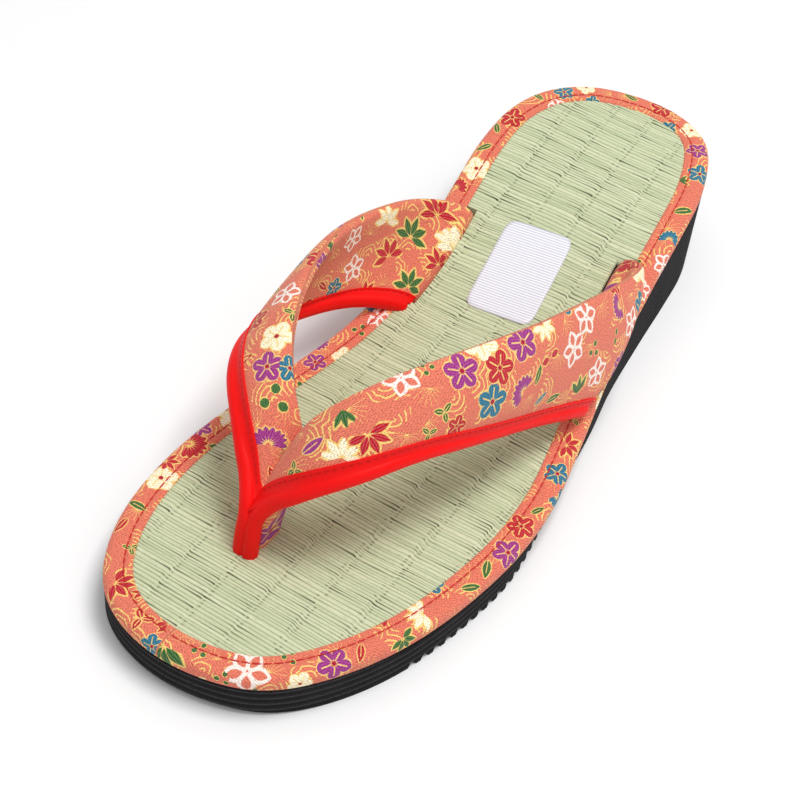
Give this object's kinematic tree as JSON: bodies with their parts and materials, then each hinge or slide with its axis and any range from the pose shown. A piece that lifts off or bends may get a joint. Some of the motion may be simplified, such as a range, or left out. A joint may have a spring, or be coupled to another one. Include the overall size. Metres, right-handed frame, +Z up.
{
  "type": "zori sandal",
  "caption": "Left zori sandal: foam wedge sole, woven rush footbed with a bound printed edge, and a padded printed thong strap with red piping.",
  "frame": {"origin": "on the floor under the middle of the sandal's bounding box", "axes": "+Z up, +Y towards the heel and -Y towards the toe, +X towards the outer side of the left foot"},
  "size_m": [0.0958, 0.25, 0.0662],
  "materials": {
    "sole_foam": "matt charcoal foam",
    "woven_rush": "pale green woven rush",
    "printed_cotton": "coral cotton with a small floral print",
    "satin_piping": "red satin"
  },
  "bodies": {
    "root": {"outsole": "sole_foam", "footbed": "woven_rush", "edge_binding": "printed_cotton", "strap_upper": "printed_cotton", "piping_lateral": "satin_piping", "piping_medial": "satin_piping"}
  },
  "joints": []
}
